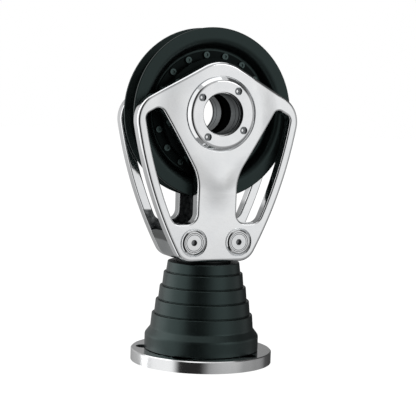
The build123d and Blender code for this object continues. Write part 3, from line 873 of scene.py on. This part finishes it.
def side_plates(material):
    """Both side plates: two even sheets, joined by strips that follow the outline, the slots,
    the hub's seat and the cups' seats; the rear plate is the front one mirrored."""
    outline, slot = plate_loops()
    cups = [circle((side * FOOT_SCREW[0], FOOT_SCREW[1]), CUP_SEAT_RADIUS) for side in (-1, 1)]
    hub = circle((0.0, 0.0), HUB_GROOVE_RADIUS, GROOVE_STEPS)
    rim = fillet_profile(OUTER_FILLET, INNER_FILLET)
    edge = fillet_profile(SLOT_FILLET, INNER_FILLET)
    step = HUB_GROOVE_RADIUS - HUB_SEAT_RADIUS
    bore = [(WIDE_SUPPORT, 0.0), (SUPPORT, 0.0), (0.0, EASED_EDGE), (0.0, HUB_GROOVE_DEPTH),
            (-step, HUB_GROOVE_DEPTH), (-step, PLATE_THICK)]
    reach = CUP_SEAT_RADIUS - SCREW_HOLE_RADIUS
    seat = [(SUPPORT, 0.0), (0.0, CUP_SEAT_EDGE), (0.0, CUP_DEPTH), (-reach, CUP_DEPTH),
            (-reach, PLATE_THICK)]
    borders = [(outline, rim, True), (slot, edge, False), (slot * (-1.0, 1.0), edge, False),
               (hub, bore, False)] + [(cup, seat, False) for cup in cups]
    places, faces = [], []
    for end, depth in ((0, 0.0), (-1, PLATE_THICK)):
        rings = [beside(loop, profile[end][0], inside) for loop, profile, inside in borders]
        points, triangles = sheet(rings[0], rings[1:])
        places.append(np.column_stack([points, np.full(len(points), depth)]))
        faces.append(facing(places[-1], triangles, 1.0 if end == 0 else -1.0))
    for loop, profile, inside in borders:
        rings = [np.column_stack([beside(loop, inset, inside), np.full(len(loop), depth)])
                 for inset, depth in profile]
        points = np.vstack(rings)
        index = np.arange(len(points)).reshape(len(rings), len(loop))
        ahead = np.roll(index, -1, axis=1)
        quads = np.stack([index[:-1], ahead[:-1], ahead[1:], index[1:]], axis=-1).reshape(-1, 4)
        if (signed_area(loop) > 0) == inside:
            quads = quads[:, ::-1]
        places.append(points)
        faces.append(quads)
    starts = np.cumsum([0] + [len(part) for part in places])
    points = np.vstack(places)
    share = 1 - points[:, 2] / PLATE_THICK
    along = PLATE_OUTER - points[:, 2] + plate_relief(points[:, 0], points[:, 1]) * share
    polygons = [face for part, start in zip(faces, starts) for face in (part + start).tolist()]
    for side, sign in SIDES:
        placed = np.column_stack([points[:, 0], sign * along, points[:, 1]]) + AXLE
        shown = polygons if sign < 0 else [face[::-1] for face in polygons]
        piece = patched(f"{side}_plate_skin", placed, shown, material, "head")
        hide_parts(f"{side}_side_plate")


def facing(points, triangles, way):
    """Triangles turned so that they run anticlockwise, or clockwise, seen from the outer face."""
    wrong = doubled_areas(points[triangles][:, :, :2]) * way < 0
    turned_over = triangles.copy()
    turned_over[wrong] = triangles[wrong][:, ::-1]
    return turned_over


def joined(mesh):
    """Make one of each mesh point and its close neighbours, and drop faces without area."""
    work = bmesh.new()
    work.from_mesh(mesh)
    bmesh.ops.remove_doubles(work, verts=work.verts, dist=SAME)
    bmesh.ops.dissolve_degenerate(work, edges=work.edges, dist=SAME)
    work.to_mesh(mesh)
    work.free()


def patched(name, points, polygons, material, body):
    """A mesh from points and polygons whose shared places are made one, riding on a body."""
    mesh = bpy.data.meshes.new(name)
    mesh.from_pydata(points.tolist(), [], polygons)
    joined(mesh)
    piece = finished(name, mesh, material)
    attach(piece, body)
    return piece


def mirrored(outline, sign):
    """An outline of (radius, distance out from the middle plane) for the front or rear side."""
    return outline * (1.0, sign)


def hub_rings(material):
    """Both hub rings: a lathe outline with a steep bevel, a rounded brow, a dark line where the
    flange meets the plate and two grooves in the bore, and four wells cut for the screws."""
    face = PLATE_OUTER + HUB_HEIGHT
    seat = PLATE_OUTER - PLATE_SINK
    corners = [(HUB_BORE_RADIUS, HUB_SPIGOT_END, BROKEN_EDGE)]
    for far, near in HUB_LINES:
        corners += [(HUB_BORE_RADIUS, face - far, SHARP_EDGE),
                    (HUB_LINE_RADIUS, face - far, SHARP_EDGE),
                    (HUB_LINE_RADIUS, face - near, SHARP_EDGE),
                    (HUB_BORE_RADIUS, face - near, SHARP_EDGE)]
    outline = rounded(corners + [
        (HUB_BORE_RADIUS, face - HUB_MOUTH_DEPTH, EASED_EDGE),
        (HUB_MOUTH_RADIUS, face - HUB_MOUTH_DEPTH, SHARP_EDGE),
        (HUB_MOUTH_RADIUS, face, EASED_EDGE),
        (HUB_BROW_RADIUS, face, HUB_BROW),
        (HUB_RADIUS, seat + PAD_HEIGHT + EASED_EDGE, EASED_EDGE),
        (HUB_RADIUS, seat, 0),
        (HUB_SPIGOT_RADIUS, seat, 0),
        (HUB_SPIGOT_RADIUS, HUB_SPIGOT_END, BROKEN_EDGE),
    ], FINE_ARC_STEPS)
    for side, sign in SIDES:
        ring = turned(f"{side}_hub_skin", mirrored(outline, sign), material, steps=HUB_STEPS)
        for step in range(HUB_SCREWS):
            angle = math.radians(HUB_SCREW_PHASE + 360 / HUB_SCREWS * step)
            place = AXLE + (HUB_SCREW_CIRCLE * math.cos(angle), sign * (face - WELL_SINK),
                            HUB_SCREW_CIRCLE * math.sin(angle))
            bpy.ops.mesh.primitive_cylinder_add(
                vertices=WELL_STEPS, radius=WELL_RADIUS, depth=WELL_LENGTH, location=place,
                rotation=(math.pi / 2, 0, 0))
            well = bpy.context.object
            cut = ring.modifiers.new("well", "BOOLEAN")
            cut.object = well
            cut.solver = "MANIFOLD"
            bpy.context.view_layer.objects.active = ring
            bpy.ops.object.modifier_apply(modifier=cut.name)
            bpy.data.objects.remove(well, do_unlink=True)
        ring.data.set_sharp_from_angle(angle=math.radians(WELL_SHARP))
        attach(ring, "head")
        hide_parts(f"{side}_hub_ring")


def foot_cups(material):
    """The four cups: a raised ring with a steep outer bevel, a rounded brow and a countersink."""
    outline = rounded([(radius, PLATE_OUTER + rise, edge) for radius, rise, edge in CUP_OUTLINE],
                      FINE_ARC_STEPS)
    for side, sign in SIDES:
        grids = []
        for place in (-1, 1):
            centre = AXLE + (place * FOOT_SCREW[0], 0.0, FOOT_SCREW[1])
            grids.append(turned_points(mirrored(outline, sign), centre, False, CUP_STEPS))
        cups = surface(f"{side}_cup_skin", grids, material, "head")
        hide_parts(f"{side}_screw_cups")


def boot_outline():
    """The boot's outer side from the floor up, as (radius, height, rounding) corners."""
    ring_top = BOOT_FLOOR + BOOT_RING_HEIGHT
    flare_top = ring_top + BOOT_FLARE_HEIGHT
    corners = [
        (BOOT_RING_RADIUS, BOOT_FLOOR, BOOT_FOOT_EDGE),
        (BOOT_RING_RADIUS, ring_top, BOOT_RING_EDGE),
    ]
    for tier in reversed(range(BOOT_TIERS)):
        radius = BOOT_TOP_RADIUS + tier * BOOT_STEP
        floor = flare_top + (BOOT_TIERS - 1 - tier) * BOOT_PITCH
        roof = min(floor + BOOT_PITCH, BOOT_ROOF)
        if tier == BOOT_TIERS - 1:
            corners.append((radius + BOOT_TAPER, floor, BOOT_FLARE_EDGE))
        else:
            foot = radius + BOOT_TAPER
            corners.append((foot - BOOT_GROOVE, floor, BROKEN_EDGE))
            corners.append((foot - BOOT_GROOVE, floor + BOOT_GROOVE, BROKEN_EDGE))
            corners.append((foot, floor + 1.5 * BOOT_GROOVE, BROKEN_EDGE))
        corners.append((radius + BOOT_TIER_REACH, roof - BOOT_TIER_DROP, BOOT_EDGE))
    return corners


def boot_halves(material):
    """The boot in two skins that meet at one height: each is the outer side, then the wall's
    inside, turned about the vertical."""
    corners = boot_outline()
    inner = [
        (BOOT_MOUTH, BOOT_ROOF, BOOT_EDGE),
        (BOOT_MOUTH, BOOT_ROOF - BOOT_LIP, BOOT_EDGE),
        (BOOT_TOP_RADIUS - BOOT_WALL, BOOT_ROOF - BOOT_LIP, BOOT_EDGE),
        (corners[2][0] - BOOT_WALL, corners[2][1], BOOT_EDGE),
        (BOOT_RING_RADIUS - BOOT_WALL, corners[1][1], BOOT_EDGE),
        (BOOT_RING_RADIUS - BOOT_WALL, BOOT_FLOOR, BOOT_SEAT_EDGE),
    ]
    outline = thickened(rounded(corners + inner), BOOT_GAP)
    above = np.flatnonzero(outline[:, 1] > BOOT_SPLIT)
    first, last = above[0], above[-1]
    upper = outline[first - 1:last + 2]
    lower = np.vstack([outline[:first], outline[last + 1:]])
    lower_skin = turned("boot_lower_skin", lower, material, upright=True)
    upper_skin = turned("boot_upper_skin", upper, material, upright=True)
    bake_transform(lower_skin)
    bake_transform(upper_skin)
    for skin in (lower_skin, upper_skin):
        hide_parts("boot")


def thickened(outline, gap):
    """The outline with points added so that no stretch is longer than gap."""
    ahead = np.roll(outline, -1, axis=0)
    counts = np.maximum(1, np.ceil(np.linalg.norm(ahead - outline, axis=1) / gap)).astype(int)
    start = np.repeat(outline, counts, axis=0)
    step = np.repeat((ahead - outline) / counts[:, None], counts, axis=0)
    order = np.arange(counts.sum()) - np.repeat(np.cumsum(counts) - counts, counts)
    return start + step * order[:, None]


def dress(node, material):
    """Give a carried-over solid its finish."""
    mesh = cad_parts[node].data
    mesh.materials.clear()
    mesh.materials.append(material)


def glow_material(name, strength, level_at=None):
    """A material that only gives light, in one strength or times a level that goes by place."""
    made = bpy.data.materials.new(name)
    made.use_nodes = True
    tree = made.node_tree
    tree.nodes.clear()
    inputs = {"Strength": strength}
    if level_at:
        inputs["Color"] = level_at(add_node(tree, "ShaderNodeTexCoord", out="Object"))
    add_node(tree, "ShaderNodeOutputMaterial", {0: add_node(tree, "ShaderNodeEmission", inputs)})
    return made


def ramp_stops(levels):
    """Ramp stops from (degrees from the camera's bearing, level), each as a share of a turn."""
    return sorted(((degrees % 360) / 360, level / WALL_SCALE) for degrees, level in levels)


def wall_level(place):
    """The wall's light: a lower, an upper and a canopy level, each by compass angle as a share of
    a turn, which two whole turns keep positive."""
    turn = place.axis("Y").maths("ARCTAN2", place.axis("X")) * (1 / (2 * math.pi))
    turn = (turn - VIEW / 360 + 2.0).maths("FRACT")
    lower, upper, canopy = (
        turn.node("ShaderNodeValToRGB", {0: turn}, stops=ramp_stops(levels))
        for levels in (WALL_LOW, WALL_HIGH, WALL_UP))
    height = place.axis("Z")
    return height.above(*WALL_CANOPY).blend(height.above(*WALL_FADE).blend(lower, upper), canopy)


def unseen(piece):
    """A studio surface that only reflections see."""
    piece.visible_camera = False
    piece.visible_diffuse = False
    piece.visible_shadow = False


def studio_wall():
    """The studio round the part, seen only by reflections: an upright cylinder whose level goes
    by compass angle and by height, as boards and openings of soft light would stand there."""
    ring = circle((0.0, 0.0), WALL_RADIUS, WALL_STEPS)
    points = np.vstack([np.column_stack([ring, np.full(WALL_STEPS, level)])
                        for level in (WALL_FLOOR, WALL_TOP)])
    index = np.arange(WALL_STEPS)
    ahead = np.roll(index, -1)
    quads = np.stack([index, index + WALL_STEPS, ahead + WALL_STEPS, ahead], axis=-1)
    mesh = bpy.data.meshes.new("studio_wall")
    mesh.from_pydata(points, [], quads.tolist())
    mesh.materials.append(glow_material("studio_wall", WALL_SCALE, wall_level))
    unseen(linked("studio_wall", mesh))


def disc(name, radius, height, material):
    """A level disc of the studio."""
    bpy.ops.mesh.primitive_circle_add(vertices=WALL_STEPS, radius=radius, fill_type="NGON",
                                      location=(0, 0, height))
    made = bpy.context.object
    made.name = name
    made.data.materials.append(material)
    return made


def white_floor():
    """The floor: it takes the part's shadow, and the camera sees it mostly as an even glow."""
    finish = Finish("floor_white", (0.82, 0.82, 0.82), 0.0, 0.9)
    tree = finish.material.node_tree
    seen = add_node(tree, "ShaderNodeLightPath", out="Is Camera Ray") * FLOOR_GLOW_SHARE
    glow = add_node(tree, "ShaderNodeEmission", {"Strength": FLOOR_GLOW})
    mixed = add_node(tree, "ShaderNodeMixShader", {
        0: seen, 1: Wire(tree, finish.shader.outputs[0]), 2: glow})
    tree.links.new(mixed.socket, tree.nodes["Material Output"].inputs[0])
    floor = disc("floor", FLOOR_RADIUS, 0, finish.material)
    floor.visible_glossy = False


def surroundings():
    """The white world: full for the camera, less for reflections, and less again as light."""
    world = bpy.data.worlds.new("studio_white")
    bpy.context.scene.world = world
    world.use_nodes = True
    tree = world.node_tree
    seen, glossy, through = (
        add_node(tree, "ShaderNodeLightPath", out=f"Is {kind} Ray")
        for kind in ("Camera", "Glossy", "Transmission"))
    level = (seen + glossy + through).above(0.0, 1.0).blend(WORLD_LIGHT, WHITE)
    level = level - glossy * REFLECTED_LOSS
    tree.links.new(level.socket, tree.nodes["Background"].inputs["Color"])


def lamps():
    """The soft lamps, each turned towards the part."""
    for name, place, size, power in LAMPS:
        data = bpy.data.lights.new(name, "AREA")
        data.shape = "RECTANGLE"
        data.size, data.size_y = size
        data.energy = power
        linked(name, data).matrix_world = looking(place, LAMP_TARGET)


def looking(place, target):
    """The matrix of a lamp at place that shines towards target, which isn't right below it."""
    forward = np.array(target) - np.array(place)
    forward = forward / np.linalg.norm(forward)
    side = np.cross(forward, (0.0, 0.0, 1.0))
    side = side / np.linalg.norm(side)
    up = np.cross(side, forward)
    matrix = Matrix.Identity(4)
    for column, vector in enumerate((side, up, -forward)):
        for row in range(3):
            matrix[row][column] = vector[row]
    matrix.translation = place
    return matrix


def camera():
    """The photograph's camera: in front to the left, just above the axle, tilted a little."""
    data = bpy.data.cameras.new("photo_camera")
    data.lens = CAMERA_LENS
    data.sensor_width = CAMERA_SENSOR
    made = linked("photo_camera", data)
    heading = Matrix.Rotation(math.radians(-CAMERA_HEADING), 4, "Z")
    tilt = Matrix.Rotation(math.radians(90.0 - CAMERA_PITCH), 4, "X")
    roll = Matrix.Rotation(math.radians(CAMERA_ROLL), 4, "Z")
    made.matrix_world = Matrix.Translation(CAMERA_PLACE) @ heading @ tilt @ roll
    bpy.context.scene.camera = made


steel = cast_mirror_steel()
hub_steel = hub_mirror_steel()
base_steel = turned_base_steel()
satin = forged_steel()
dark_steel = crosshead_steel()
foot_bright = foot_screw_steel()
hub_bright = hub_screw_steel()
bright = fastener_steel()
anodised = black_anodised("black_anodised", 0.44)
recessed = black_anodised("black_race", 0.06)
screw_black = black_anodised("black_screw", 1.0)
acetal = black_acetal()
tan = bearing_plastic()
rubber = boot_rubber()

dress("base_plate", base_steel)
dress("boot", rubber)
dress("toggle_link", satin)
dress("crosshead", dark_steel)
for name in ("lower_toggle_pin", "lower_pin_clip", "upper_toggle_pin", "upper_pin_clip"):
    dress(name, bright)
dress("axle_sleeve", acetal)
dress("roller_cage", acetal)
dress("inner_race", anodised)
dress("sheave", anodised)
dress("rollers", tan)
for side in ("front", "rear"):
    dress(f"{side}_side_plate", steel)
    dress(f"{side}_screw_cups", steel)
    dress(f"{side}_hub_ring", hub_steel)
    dress(f"{side}_foot_screws", foot_bright)
    dress(f"{side}_hub_screws", hub_bright)
    dress(f"{side}_race_ring", recessed)
    dress(f"{side}_race_screws", screw_black)
    dress(f"{side}_balls", tan)
    dress(f"{side}_ball_cage", acetal)

boot_halves(rubber)
side_plates(steel)
hub_rings(hub_steel)
foot_cups(steel)
white_floor()
unseen(disc("studio_table", WALL_RADIUS, WALL_FLOOR, glow_material("studio_table", TABLE_LEVEL)))
studio_wall()
surroundings()
lamps()
camera()
bpy.context.scene.view_settings.view_transform = "Standard"
